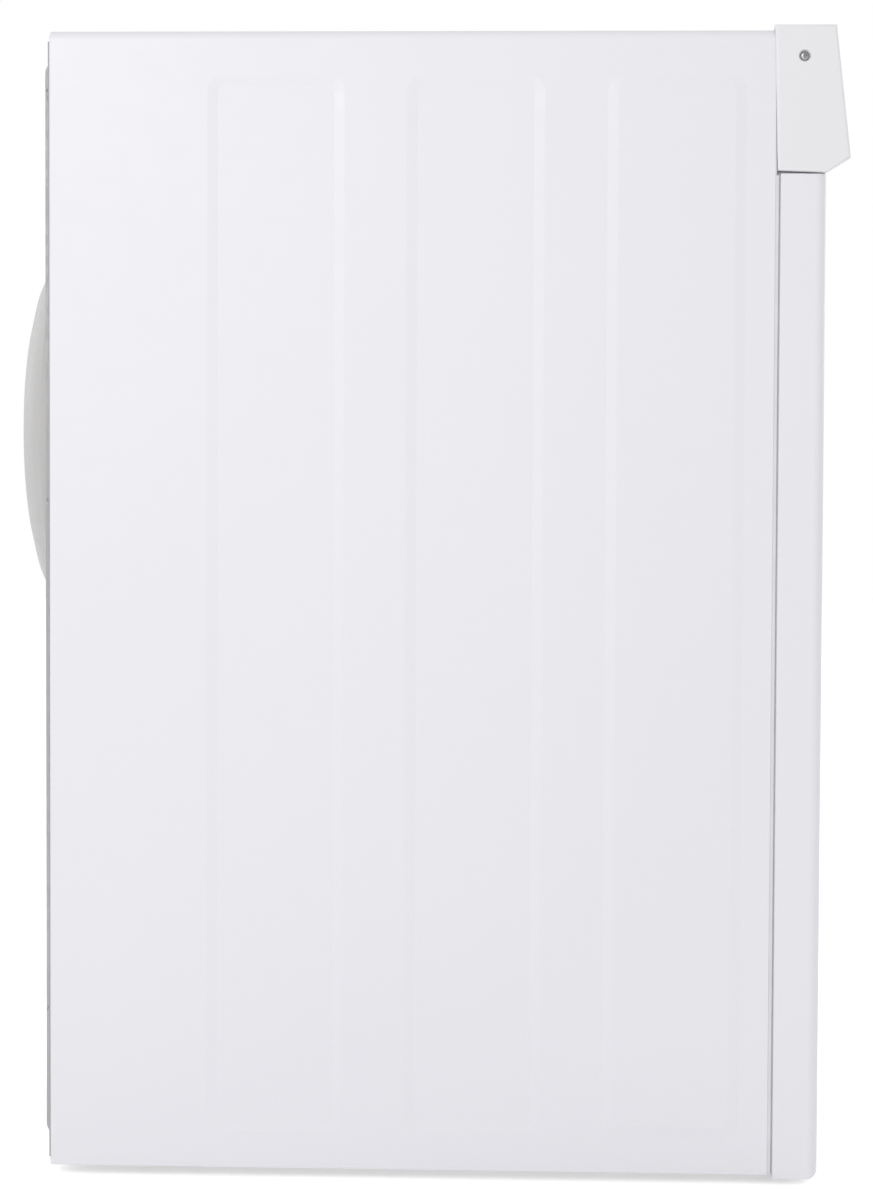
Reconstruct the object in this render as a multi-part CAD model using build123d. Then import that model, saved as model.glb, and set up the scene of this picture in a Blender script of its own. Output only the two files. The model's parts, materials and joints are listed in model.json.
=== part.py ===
from build123d import *
import os
from math import atan2, cos, degrees, hypot, pi, sin

# A free-standing household trash compactor with a full height pull-out drawer front.
# X runs to the right as seen from the front, Y to the back and Z up. Millimetres.

# Cabinet
cabinet_width = 376.0
cabinet_depth = 546.0
cabinet_height = 859.0
cabinet_bottom = 8.0
wrapper_sheet = 1.0
wrapper_bend = 7.0
wrapper_return = 14.0
wrapper_fold = 1.3
wrapper_inner_fold = 0.4
emboss_first = 119.8
emboss_pitch = 150.0
emboss_width = 103.3
emboss_low = 27.4
emboss_high = 33.3
emboss_depth = 0.9
emboss_slope = 8.0
emboss_corner = 12.0
emboss_corner_steps = 3
emboss_sides = (-1, -1, 1)

# Console
console_proud = 2.5
console_reach = 54.4
console_top_rise = 3.5
console_front_top = 43.2
console_lip_drop = 98.2
console_under_reach = 36.0
console_under_drop = 109.3
console_back_drop = 107.9
cap_width = 18.0
cap_overhang = 2.5
cap_edge = 0.8
fascia_setback = 14.0
fascia_top_step = 2.0
fascia_drop = 85.5
fascia_wall = 2.5
fascia_edge = 2.0
seat_gap = 0.3
cap_screw_inset = 19.6
cap_screw_drop = 23.2
cap_screw_recess = 2.4

# Screws
screw_head_radius = 3.5
screw_head_height = 2.0
screw_shank_radius = 1.8
screw_shank_length = 7.0
screw_hole_radius = 2.0
cross_length = 4.2
cross_width = 0.9

# Drawer front
joint_gap = 2.6
front_thickness = 34.2
front_bottom = 5.0
front_top_gap = 0.8
front_sheet = 1.0
front_corner = 8.0
front_hem = 0.7
liner_sheet = 1.2
liner_flange = 14.0
bumper_width = 6.0
bumper_inset = 1.5
handle_width = 160.0
handle_depth = 24.0
handle_height = 32.0
handle_setback = 6.0
handle_wall = 2.0
handle_rim = 4.0
handle_rim_height = 1.6
handle_front_rim = 3.0
handle_back_rim = 2.0
handle_round = 6.0

# Back panel and rear dome
pan_depth = 5.6
pan_sheet = 0.8
pan_side_margin = 12.0
pan_bottom = 17.9
pan_top_margin = 19.7
pan_flange_side = 1.0
pan_flange_bottom = 6.0
pan_flange_top = 8.0
pan_corner = 12.0
pan_slope_depth = 3.4
pan_slope_length = 6.0
pan_screw_low = 117.0
pan_screw_high = 46.0
pan_screw_middle = 0.5575
pan_screw_margin = 7.0
pan_relief_radius = 8.5
pan_opening_share = 0.62
pan_vent_rows = 6
pan_vent_low = 207.0
pan_vent_pitch = 14.0
pan_vent_height = 4.0
pan_vent_width = 60.0
pan_vent_x = 40.0
dome_height = 36.5
dome_radius = 150.0
dome_power = 2.5
dome_wall = 2.2
dome_drop = 300.0
dome_crown = 0.35
dome_rings = (0.52, 0.68, 0.82, 0.92, 0.98)
dome_inner_rings = (0.68, 0.92)
dome_flange_inner = 118.0
dome_flange_outer = 143.5
dome_flange_height = 8.0
dome_boss_circle = 126.0
vent_slot_height = 4.0
vent_slot_pitch = 11.0
vent_field_radius = 50.0
vent_rib = 3.0
bushing_inset = 58.0
bushing_z = 92.0
bushing_bore = 9.0
bushing_wall = 1.6
bushing_length = 8.0
bushing_flange = 3.0
bushing_flange_height = 2.4

# Base and feet
base_sheet = 1.5
base_flange = 26.0
base_lip = 11.0
base_gap = 0.5
foot_x_inset = 68.0
foot_y_inset = 78.0
foot_pad_radius = 18.0
foot_pad_height = 4.0
foot_nut_radius = 7.5
foot_stud_radius = 4.0
foot_stud_top = 30.0
front_tab_drop = 2.6
front_tab_length = 6.0
front_tab_width = 27.0

# Inner frame
plate_inset = 50.0
plate_sheet = 1.5
plate_flange = 12.0
plate_hole_radius = 22.0
plate_hole_margin = 75.0
plate_hole_low = 190.0
plate_hole_high = 292.0
chain_notch_side = 8.0
chain_notch_back = 66.0
chain_notch_low = 11.0
chain_notch_high = 9.0
bulkhead_back = 149.0
bulkhead_window_side = 40.0
bulkhead_window_edge = 12.0
rib_places = (-337.0, -187.0, 173.0)
rib_half_length = 90.0
rib_half_height = 6.0
rib_proud = 3.0
beam_height = 14.0
beam_width = 64.0
beam_sheet = 2.0
beam_hole_radius = 12.0
slot_half_width = 24.0
slot_end_gap = 18.0
rail_sheet = 1.5
rail_low_gap = 6.0
rail_high_gap = 8.0
rail_low_flange = 22.0
rail_high_flange = 14.0

# Drive
screw_inset = 28.0
screw_forward = 5.35
screw_radius = 9.5
screw_top_gap = 1.5
journal_radius = 8.0
journal_fit = 0.05
bearing_height = 18.0
bearing_half = 13.0
bearing_foot_half = 17.0
bearing_foot_height = 4.0
upper_bearing_half = 16.0
upper_bearing_height = 6.0
chain_z = 42.0
chain_pitch = 12.7
sprocket_teeth = 10
sprocket_width = 5.4
sprocket_tooth_depth = 3.2
sprocket_hub_radius = 11.0
chain_plate_height = 8.4
chain_plate_sheet = 1.2
chain_inner_width = 6.4
chain_roller_width = 6.4
chain_overlap = 5.9
motor_y_inset = 75.5
motor_radius = 56.0
motor_height = 118.0
motor_low_edge = 6.0
motor_high_edge = 8.0
motor_slot_count = 6
reducer_radius = 50.0
reducer_height = 24.0
reducer_lift = 18.0
reducer_lug = 9.0
reducer_boss_radius = 14.0
reducer_boss_height = 5.0
output_radius = 7.0
output_low = 10.0
output_high = 30.0
bracket_inset = 120.0
bracket_half_depth = 60.0
bracket_sheet = 3.0
bracket_foot = 18.0
bracket_window_edge = 8.0
capacitor_inset = 70.0
capacitor_forward = 38.0
capacitor_radius = 20.0
capacitor_height = 96.0
capacitor_foot = 24.0
capacitor_foot_depth = 14.0
capacitor_foot_height = 3.3

# Ram
ram_beam_gap = 37.0
ram_box_height = 325.0
ram_stroke = 325.0
ram_side_gap = 34.0
ram_depth_gap = 34.0
ram_plate_sheet = 3.0
ram_plate_rim = 26.0
ram_plate_corner = 20.0
ram_plate_edge = 4.0
ram_groove_places = (-50.0, 0.0, 50.0)
ram_groove_half = 6.0
ram_groove_end = 50.0
ram_box_sheet = 1.5
ram_box_inset = 9.0
ram_box_corner = 12.0
ram_beam_height = 26.0
ram_beam_width = 40.0
ram_beam_sheet = 3.0
ram_beam_plate_half = 100.0
nut_size = 30.0
nut_height = 44.0
nut_corner = 3.0

# Drawer body, bin and slides
tray_z = 54.0
tray_sheet = 1.5
tray_side_gap = 13.0
tray_end_gap = 27.6
tray_side_height = 60.0
tray_upright_gap = 60.0
tray_lip = 5.0
tray_gusset = 60.0
tray_gusset_gap = 180.0
tray_window = 32.0
bin_top_gap = 10.0
bin_side_gap = 5.0
bin_end_gap = 12.0
bin_draft = 6.0
bin_wall = 2.5
bin_floor = 3.0
bin_corner = 26.0
bin_corner_steps = 4
bin_rim = 6.0
bin_rim_height = 3.0
bin_front_gap = 3.0
clip_drop = 24.0
clip_y = 100.0
clip_proud = 2.6
clip_half = 4.0
slide_height = 45.0
slide_z = 88.5
slide_start = 6.0
slide_end_gap = 25.0
slide_lip = 2.2
slide_sheet = 1.2
slide_gap = 0.35

# Odour fan and filter
impeller_radius = 62.0
impeller_eye = 40.0
impeller_width = 30.0
impeller_sheet = 2.0
impeller_hub_radius = 12.0
impeller_hub_height = 16.0
blade_count = 12
blade_place = 52.0
blade_length = 22.0
blade_sheet = 1.6
blade_angle = 34.0
fan_stand = 30.0
fan_plate_half = 41.0
fan_arm_end = 92.0
fan_arm_half = 8.0
fan_sheet = 2.0
fan_motor_radius = 33.0
fan_motor_length = 44.0
fan_motor_edge = 3.0
fan_shaft_radius = 4.0
fan_shaft_length = 14.0
filter_size = 150.0
filter_depth = 14.0
filter_frame_edge = 6.0
filter_frame_face = 3.0
filter_bar_pitch = 28.0
filter_bar_columns = 5
filter_bar_gap = 3.0

# Controls
button_width = 26.0
button_height = 14.0
button_travel = 3.0
button_proud = 3.2
button_gap = 0.4
button_edge = 1.2
button_flange = 4.0
button_flange_sheet = 1.6
start_x = -70.0
stop_x = -30.0
lens_x = 5.0
lens_radius = 3.0
lens_flange_radius = 4.6
key_x = 75.0
key_radius = 13.0
key_disc = 4.4
key_grip = 8.0
key_grip_width = 6.0
key_shaft_radius = 3.0
key_shaft_length = 13.0
key_hole_radius = 3.6
control_drop = 38.0
block_margin = 50.0
block_height = 34.0
block_depth = 12.0
post_half = 3.5

# Switches and catch
switch_over_tray = 60.0
switch_body = 9.0
switch_height = 14.0
catch_half_width = 16.0
catch_depth = 22.0
catch_height = 19.0
catch_start = 12.0
catch_wall = 6.0
strike_half_width = 8.0
strike_sheet = 4.0

# Places worked out from the sizes above
total_depth = cabinet_depth + console_reach + pan_depth + dome_height
back_y = total_depth / 2 - pan_depth - dome_height
front_y = back_y - cabinet_depth
cabinet_top = cabinet_bottom + cabinet_height
console_top = cabinet_top + console_top_rise
half_width = cabinet_width / 2
console_half = half_width + console_proud
inside_x = half_width - wrapper_sheet
inside_top = cabinet_top - wrapper_sheet
base_z = cabinet_bottom + wrapper_sheet
floor_z = base_z + base_sheet
liner_y = front_y - joint_gap
face_y = liner_y - front_thickness
front_top = console_top - console_under_drop - front_top_gap
beam_z = inside_top - beam_height
bulkhead_y = back_y - bulkhead_back
motor_y = back_y - motor_y_inset
foot_x = half_width - foot_x_inset
foot_y = cabinet_depth / 2 - foot_y_inset
plate_x = half_width - plate_inset
plate_outer_x = plate_x + plate_sheet
plate_front_y = front_y + wrapper_sheet + seat_gap + base_sheet
screw_x = half_width - screw_inset
screw_y = (liner_y + bulkhead_y) / 2 - screw_forward
pitch_radius = chain_pitch / (2 * sin(pi / sprocket_teeth))
sprocket_tip = pitch_radius * cos(pi / sprocket_teeth) - chain_roller_width / 2 - seat_gap
wheel_low = chain_z - sprocket_width / 2
wheel_high = chain_z + sprocket_width / 2
reducer_z = chain_z + reducer_lift
dome_centre_z = cabinet_top - dome_drop
pan_face_y = back_y + pan_depth
bushing_x = half_width - bushing_inset
ram_beam_z = beam_z - ram_beam_gap
ram_rest_z = ram_beam_z - ram_box_height
ram_top_z = ram_beam_z + ram_beam_height
tray_half_width = plate_x - tray_side_gap
tray_depth = bulkhead_y - liner_y - tray_end_gap
bin_top_z = ram_rest_z - bin_top_gap
bin_top_width = 2 * (tray_half_width - bin_side_gap)
bin_top_depth = tray_depth - bin_end_gap
bin_y = liner_y + tray_sheet + bin_front_gap + bin_rim + bin_top_depth / 2
ram_half_width = plate_x - ram_side_gap
ram_half_depth = (bin_top_depth - ram_depth_gap) / 2
slide_y = front_y + slide_start
slide_length = bulkhead_y - slide_end_gap - slide_y
fan_plate_y = bulkhead_y + plate_sheet + fan_stand
console_slope = (console_reach - console_front_top) / console_lip_drop
console_lean = atan2(console_reach - console_front_top, console_lip_drop)


def block(x0, x1, y0, y1, z0, z1):
    """A box between two corners."""
    centre = Pos((x0 + x1) / 2, (y0 + y1) / 2, (z0 + z1) / 2)
    return centre * Box(abs(x1 - x0), abs(y1 - y0), abs(z1 - z0))


def rod_z(x, y, z0, z1, radius):
    """An upright cylinder."""
    return Pos(x, y, (z0 + z1) / 2) * Cylinder(radius, z1 - z0)


def rod_y(x, z, y0, y1, radius):
    """A cylinder from front to back."""
    return Pos(x, (y0 + y1) / 2, z) * Rot(90, 0, 0) * Cylinder(radius, y1 - y0)


def rod_x(y, z, x0, x1, radius):
    """A cylinder from side to side."""
    return Pos((x0 + x1) / 2, y, z) * Rot(0, 90, 0) * Cylinder(radius, x1 - x0)


def prism_z(x, y, z0, z1, radius, sides=8):
    """An upright bar with flat sides, for small repeated holes and screws."""
    return Pos(x, y, z0) * extrude(RegularPolygon(radius, sides), amount=z1 - z0)


def prism_y(x, z, y0, y1, radius, sides=8):
    """A flat-sided bar from front to back."""
    plane = Plane(origin=(x, y0, z), x_dir=(1, 0, 0), z_dir=(0, 1, 0))
    return extrude(plane * RegularPolygon(radius, sides), amount=y1 - y0)


def prism_x(y, z, x0, x1, radius, sides=8):
    """A flat-sided bar from side to side."""
    plane = Plane(origin=(x0, y, z), x_dir=(0, 1, 0), z_dir=(1, 0, 0))
    return extrude(plane * RegularPolygon(radius, sides), amount=x1 - x0)


def side_prism(points, x0, x1):
    """A (y, z) outline pulled from x0 to x1."""
    outline = Polyline(*[(x0, y, z) for y, z in points], close=True)
    return extrude(make_face(outline), amount=x1 - x0, dir=(1, 0, 0))


def turned(points, x, y):
    """A (radius, z) outline turned about the upright axis at x, y."""
    outline = make_face(Polyline(*[(r, 0, z) for r, z in points], close=True))
    return Pos(x, y, 0) * revolve(outline, Axis.Z)


def stepped_outline(plane, length, height, corner, steps):
    """A rectangle on a plane, its corners turned in a few straight steps."""
    points = []
    for number, (su, sv) in enumerate(((1, 1), (-1, 1), (-1, -1), (1, -1))):
        for step in range(steps + 1):
            angle = (number + step / steps) * pi / 2
            u = su * (length / 2 - corner) + corner * cos(angle)
            v = sv * (height / 2 - corner) + corner * sin(angle)
            points.append((u, v))
    return (plane * make_face(Polyline(*points, close=True))).face()


def mirrored(shape):
    """The same piece on the other side of the machine."""
    return mirror(shape, about=Plane.YZ)


def save(node, *shapes):
    """Write one node, as one solid or as a group of separate solids."""
    solids = [solid for shape in shapes for solid in shape.solids()]
    export_step(solids[0] if len(solids) == 1 else Compound(solids), "parts/" + node + ".step")


# Cabinet wrapper, base and feet

def emboss(x, depth, centre_y, centre_z, length, height):
    """A flat pressed pad with sloping sides, from the plane x, depth along X."""
    outlines = []
    for level, inset in ((0, 0), (depth, emboss_slope)):
        plane = Plane(origin=(x + level, centre_y, centre_z), x_dir=(0, 1, 0), z_dir=(1, 0, 0))
        size = (length - 2 * inset, height - 2 * inset, emboss_corner - inset)
        outlines.append(stepped_outline(plane, *size, emboss_corner_steps))
    return loft(outlines, ruled=True)


def folded_box(x, y0, y1, z0, z1, bend, fold):
    """A block with its top side corners bent, and its front and back edges folded."""
    body = block(-x, x, y0, y1, z0, z1)
    body = fillet(body.edges().filter_by(Axis.Y).group_by(Axis.Z)[-1], bend)
    faces = body.faces().sort_by(Axis.Y)
    edges = [edge for face in (faces[0], faces[-1]) for edge in face.edges() if edge.center().Z > z0 + 1]
    return chamfer(edges, fold)


def make_cabinet_wrapper():
    wrapper = folded_box(half_width, front_y, back_y, cabinet_bottom, cabinet_top, wrapper_bend, wrapper_fold)
    y0 = front_y + wrapper_sheet
    y1 = back_y - wrapper_sheet
    inner_bend = wrapper_bend - wrapper_sheet
    wrapper = wrapper - folded_box(inside_x, y0, y1, base_z, inside_top, inner_bend, wrapper_inner_fold)
    clear_x = inside_x - wrapper_return
    clear_top = inside_top - wrapper_return
    wrapper = wrapper - block(-clear_x, clear_x, front_y - 1, back_y + 1, cabinet_bottom - 1, clear_top)
    z0 = cabinet_bottom + emboss_low
    z1 = cabinet_top - emboss_high
    for number, side in enumerate(emboss_sides):
        y = back_y - emboss_first - number * emboss_pitch - emboss_width / 2
        size = (y, (z0 + z1) / 2, emboss_width, z1 - z0)
        near_x = half_width if side > 0 else inside_x
        far_x = inside_x if side > 0 else half_width
        pad = emboss(near_x, side * emboss_depth, *size)
        cut = emboss(far_x, side * emboss_depth, *size)
        wrapper = wrapper + pad - cut
        wrapper = wrapper + mirrored(pad) - mirrored(cut)
    for x, z in pan_screw_places():
        wrapper = wrapper - prism_y(x, z, back_y - 2, back_y + 1, screw_hole_radius)
    return wrapper


def make_base_frame():
    x = inside_x - base_gap
    y0 = front_y + wrapper_sheet + seat_gap
    y1 = back_y - wrapper_sheet - seat_gap
    t = base_sheet
    top = base_z + base_flange
    tray = block(-x, x, y0, y1, base_z, top)
    tray = tray - block(-x + t, x - t, y0 + t, y1 - t, floor_z, top + 1)
    tray = tray - block(-x + t, x - t, y0 - 1, y0 + t, base_z + base_lip, top + 1)
    for sx in (-1, 1):
        for sy in (-1, 1):
            tray = tray - prism_z(sx * foot_x, sy * foot_y, base_z - 1, floor_z + 1, foot_stud_radius + 0.5)
        tab_x = inside_x - wrapper_return - 3
        tab_z = cabinet_bottom - front_tab_drop
        tray = tray + block(sx * tab_x, sx * (tab_x - front_tab_width), y0, y0 + front_tab_length, tab_z, base_z)
    return tray


def make_levelling_feet():
    foot = prism_z(0, 0, 0, foot_pad_height, foot_pad_radius, 16)
    foot = foot + prism_z(0, 0, foot_pad_height, base_z, foot_nut_radius, 6)
    foot = foot + prism_z(0, 0, foot_pad_height, foot_stud_top, foot_stud_radius)
    return [Pos(sx * foot_x, sy * foot_y, 0) * foot for sx in (-1, 1) for sy in (-1, 1)]


# Back panel, its screws, the dome and the bushing

def pan_screw_places():
    """The (x, z) of each screw that holds the back panel."""
    x = half_width - pan_screw_margin
    low = cabinet_bottom + pan_screw_low
    high = cabinet_top - pan_screw_high
    heights = (low, low + pan_screw_middle * (high - low), high)
    return [(sx * x, z) for z in heights for sx in (-1, 1)]


def dome_screw_places():
    """The (x, z) of each screw that holds the dome, measured from the dome's centre."""
    angles = [pi / 4 + turn * pi / 2 for turn in range(4)]
    return [(dome_boss_circle * cos(angle), dome_boss_circle * sin(angle)) for angle in angles]


def pan_body(shrink, depth):
    """The raised field of the back panel with its sloping rim, made smaller all round by shrink."""
    width = cabinet_width - 2 * (pan_side_margin + shrink)
    z0 = cabinet_bottom + pan_bottom + shrink
    z1 = cabinet_top - pan_top_margin - shrink
    middle = (z0 + z1) / 2
    corner = pan_corner - shrink
    step = depth - pan_slope_depth
    near = Plane(origin=(0, back_y, middle), x_dir=(1, 0, 0), z_dir=(0, 1, 0))
    field = extrude(near * RectangleRounded(width, z1 - z0, corner), amount=step)
    far = Plane(origin=(0, back_y + step, middle), x_dir=(1, 0, 0), z_dir=(0, 1, 0))
    taper = degrees(atan2(pan_slope_length, pan_slope_depth))
    rim = extrude(far * RectangleRounded(width, z1 - z0, corner), amount=pan_slope_depth, taper=taper)
    field = field + rim
    for x, z in pan_screw_places():
        field = field - prism_y(x, z, back_y - 1, back_y + depth + 1, pan_relief_radius + shrink)
    return field


def make_back_panel():
    x = half_width - pan_flange_side
    z0 = cabinet_bottom + pan_flange_bottom
    z1 = cabinet_top - pan_flange_top
    panel = block(-x, x, back_y, back_y + pan_sheet, z0, z1) + pan_body(0, pan_depth)
    panel = panel - pan_body(pan_sheet, pan_depth - pan_sheet)
    y0 = back_y - 1
    y1 = pan_face_y + 1
    panel = panel - rod_y(0, dome_centre_z, y0, y1, dome_radius * pan_opening_share)
    panel = panel - rod_y(bushing_x, bushing_z, y0, y1, bushing_bore + bushing_wall)
    for x_screw, z in pan_screw_places():
        panel = panel - prism_y(x_screw, z, y0, back_y + 2, screw_hole_radius)
    for x_screw, z in dome_screw_places():
        panel = panel - prism_y(x_screw, dome_centre_z + z, y0, y1, screw_hole_radius)
    for row in range(pan_vent_rows):
        z = cabinet_bottom + pan_vent_low + row * pan_vent_pitch
        for sx in (-1, 1):
            x0 = sx * pan_vent_x - pan_vent_width / 2
            panel = panel - block(x0, x0 + pan_vent_width, back_y, y1, z, z + pan_vent_height)
    return panel


def make_back_panel_screws():
    screws = []
    seat = back_y + pan_sheet
    for x, z in pan_screw_places():
        head = prism_y(x, z, seat, seat + screw_head_height, screw_head_radius, 6)
        screws.append(head + prism_y(x, z, seat - screw_shank_length, seat, screw_shank_radius, 6))
    return screws


def dome_point(share):
    """A (radius, height) of the dome: the height falls off with a power of the radius."""
    rise = (1 - share ** dome_power) ** 0.5
    return (dome_radius * share, dome_height * rise)


def make_fan_cover():
    outer = [(0, 0), (0, dome_height), (dome_radius * dome_crown, dome_height)]
    outer += [dome_point(share) for share in dome_rings] + [(dome_radius, 0)]
    inner_top = dome_height - dome_wall
    inner = [(0, 0), (0, inner_top), (dome_radius * dome_crown, inner_top)]
    for share in dome_inner_rings:
        radius, height = dome_point(share)
        inner.append((radius - dome_wall, height * inner_top / dome_height))
    inner += [(dome_flange_outer, dome_flange_height), (dome_flange_inner, dome_flange_height)]
    inner += [(dome_flange_inner, 0)]
    dome = turned(outer, 0, 0) - turned(inner, 0, 0)
    for x, z in dome_screw_places():
        dome = dome - prism_z(x, z, -1, screw_shank_length, screw_hole_radius)
    rows = int(vent_field_radius / vent_slot_pitch)
    half = vent_slot_height / 2
    for row in range(-rows, rows + 1):
        offset = row * vent_slot_pitch
        reach = (vent_field_radius ** 2 - offset ** 2) ** 0.5
        for sx in (-1, 1):
            slot = block(sx * vent_rib, sx * reach, offset - half, offset + half, inner_top - 1, dome_height + 1)
            dome = dome - slot
    return Pos(0, pan_face_y, dome_centre_z) * Rot(-90, 0, 0) * dome


def make_fan_cover_screws():
    screws = []
    seat = pan_face_y - pan_sheet
    for x, z_offset in dome_screw_places():
        z = dome_centre_z + z_offset
        head = prism_y(x, z, seat - screw_head_height, seat, screw_head_radius, 6)
        screws.append(head + prism_y(x, z, seat, seat + screw_shank_length, screw_shank_radius, 6))
    return screws


def make_cord_bushing():
    y0 = pan_face_y - bushing_length
    y1 = pan_face_y + bushing_flange_height
    radius = bushing_bore + bushing_wall
    sleeve = rod_y(bushing_x, bushing_z, y0, pan_face_y, radius - journal_fit)
    flange = rod_y(bushing_x, bushing_z, pan_face_y, y1, radius + bushing_flange)
    return sleeve + flange - rod_y(bushing_x, bushing_z, y0 - 1, y1 + 1, bushing_bore)


# Inner frame: side plates, bulkhead, top beam, front rail

def make_side_plate():
    y0 = plate_front_y
    x0 = plate_x - 1
    x1 = plate_outer_x
    x2 = x1 + plate_flange
    plate = block(plate_x, x1, y0, bulkhead_y, floor_z, beam_z)
    plate = plate + block(x1, x2, y0, bulkhead_y, floor_z, floor_z + plate_sheet)
    plate = plate + block(x1, x2, y0, y0 + plate_sheet, floor_z, beam_z)
    slot_low = ram_beam_z - ram_stroke - slot_end_gap
    slot_y = (screw_y - slot_half_width, screw_y + slot_half_width)
    plate = plate - block(x0, x1 + 1, *slot_y, slot_low, beam_z + 1)
    run = pitch_radius + chain_plate_height
    notch_y = (screw_y - run - chain_notch_side, screw_y + run + chain_notch_back)
    plate = plate - block(x0, x1 + 1, *notch_y, chain_z - chain_notch_low, chain_z + chain_notch_high)
    seat = bearing_foot_half + 2
    plate = plate - block(x1, x2 + 1, screw_y - seat, screw_y + seat, floor_z - 1, floor_z + bearing_foot_height)
    for z in (floor_z + plate_hole_low, beam_z - plate_hole_high):
        for y in (y0 + plate_hole_margin, bulkhead_y - plate_hole_margin):
            plate = plate - prism_x(y, z, x0, x1 + 1, plate_hole_radius)
    return plate


def make_top_beam():
    x = inside_x - base_gap
    y0 = screw_y - beam_width / 2
    y1 = screw_y + beam_width / 2
    beam = block(-x, x, y0, y1, beam_z, inside_top)
    beam = fillet(beam.edges().filter_by(Axis.Y).group_by(Axis.Z)[-1], wrapper_bend)
    t = beam_sheet
    beam = beam - block(-x - 1, x + 1, y0 + t, y1 - t, beam_z + t, inside_top + 1)
    for sx in (-1, 1):
        beam = beam - prism_z(sx * screw_x, screw_y, beam_z - 1, inside_top + 1, beam_hole_radius)
    return beam


def make_front_rail():
    x = inside_x - base_gap
    y0 = front_y + wrapper_sheet
    y1 = y0 + rail_low_flange
    z0 = front_top + rail_low_gap
    z1 = inside_top - rail_high_gap
    rail = block(-x, x, y0, y0 + rail_sheet, z0, z1)
    rail = rail + block(-x, x, y0, y1, z0, z0 + rail_sheet)
    rail = rail + block(-x, x, y0, y0 + rail_high_flange, z1 - rail_sheet, z1)
    for sx in (-1, 1):
        notch_x = (sx * (plate_x - 1), sx * (plate_outer_x + plate_flange + 1))
        rail = rail - block(*notch_x, y0 + rail_sheet, y1 + 1, z0 - 1, z1 + 1)
    return rail


def make_rear_bulkhead():
    x = plate_outer_x + plate_flange
    y0 = bulkhead_y - 1
    y1 = bulkhead_y + plate_sheet
    wall = block(-x, x, bulkhead_y, y1, floor_z, beam_z)
    wall = wall + block(-x, x, bulkhead_y, bulkhead_y + plate_flange, floor_z, floor_z + plate_sheet)
    chain_x = screw_x * (motor_y - bulkhead_y) / (motor_y - screw_y) + bulkhead_window_side
    low = floor_z + bulkhead_window_edge
    wall = wall - block(-chain_x, chain_x, y0, y1 + 1, low, chain_z + bulkhead_window_edge)
    half = filter_size / 2 - 10
    wall = wall - block(-half, half, y0, y1 + 1, dome_centre_z - half, dome_centre_z + half)
    t = plate_sheet
    for place in rib_places:
        z = dome_centre_z + place
        rib_z = (z - rib_half_height, z + rib_half_height)
        wall = wall + block(-rib_half_length, rib_half_length, y1, y1 + rib_proud, *rib_z)
        hollow_z = (rib_z[0] + t, rib_z[1] - t)
        wall = wall - block(t - rib_half_length, rib_half_length - t, y0, y1 + rib_proud - t, *hollow_z)
    return wall


# Drive

def make_bearing_lower(sx):
    x = sx * screw_x
    wide = bearing_foot_half
    foot = block(x - wide, x + wide, screw_y - wide, screw_y + wide, floor_z, floor_z + bearing_foot_height)
    half = bearing_half
    body = block(x - half, x + half, screw_y - half, screw_y + half, floor_z, floor_z + bearing_height)
    bore = rod_z(x, screw_y, floor_z - 1, floor_z + bearing_height + 1, journal_radius + journal_fit)
    return foot + body - bore


def make_bearing_upper(sx):
    x = sx * screw_x
    half = upper_bearing_half
    z0 = beam_z - upper_bearing_height
    body = block(x - half, x + half, screw_y - half, screw_y + half, z0, beam_z)
    return body - rod_z(x, screw_y, z0 - 1, beam_z + 1, screw_radius + journal_fit)


def make_power_screw(sx):
    z0 = floor_z + seat_gap
    z1 = inside_top - screw_top_gap
    profile = [(0, z0), (journal_radius, z0), (journal_radius, wheel_high), (screw_radius, wheel_high)]
    profile += [(screw_radius, z1), (0, z1)]
    return turned(profile, sx * screw_x, screw_y)


def sprocket(x, y, bore, hub_end):
    """A toothed wheel that lies inside the chain, with a hub that reaches up or down to hub_end."""
    root = sprocket_tip - sprocket_tooth_depth
    points = []
    for tooth in range(sprocket_teeth):
        centre = 2 * pi * tooth / sprocket_teeth
        for step, radius in ((-0.34, root), (-0.13, sprocket_tip), (0.13, sprocket_tip), (0.34, root)):
            angle = centre + step * 2 * pi / sprocket_teeth
            points.append((radius * cos(angle), radius * sin(angle)))
    wheel = extrude(make_face(Polyline(*points, close=True)), amount=sprocket_width)
    low = min(hub_end, wheel_low)
    high = max(hub_end, wheel_high)
    wheel = Pos(x, y, wheel_low) * wheel + prism_z(x, y, low, high, sprocket_hub_radius)
    return wheel - rod_z(x, y, low - 1, high + 1, bore)


def chain_path():
    """The straight runs and the bends of the chain round both screws and the motor."""
    corners = [(-screw_x, screw_y), (screw_x, screw_y), (0, motor_y)]
    count = len(corners)
    stretches = []
    for number in range(count):
        ax, ay = corners[number]
        bx, by = corners[(number + 1) % count]
        cx, cy = corners[(number + 2) % count]
        length = hypot(bx - ax, by - ay)
        ux, uy = (bx - ax) / length, (by - ay) / length
        start = (ax + uy * pitch_radius, ay - ux * pitch_radius)
        stretches.append(("run", start, (ux, uy), length))
        turn = (atan2(cy - by, cx - bx) - atan2(by - ay, bx - ax)) % (2 * pi)
        stretches.append(("bend", (bx, by), atan2(-ux, uy), turn * pitch_radius))
    return stretches


def chain_point(stretches, distance):
    """The (x, y) at a distance along the chain."""
    for kind, place, heading, length in stretches:
        if distance <= length:
            if kind == "run":
                return (place[0] + heading[0] * distance, place[1] + heading[1] * distance)
            angle = heading + distance / pitch_radius
            return (place[0] + pitch_radius * cos(angle), place[1] + pitch_radius * sin(angle))
        distance -= length
    return stretches[0][1]


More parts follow.
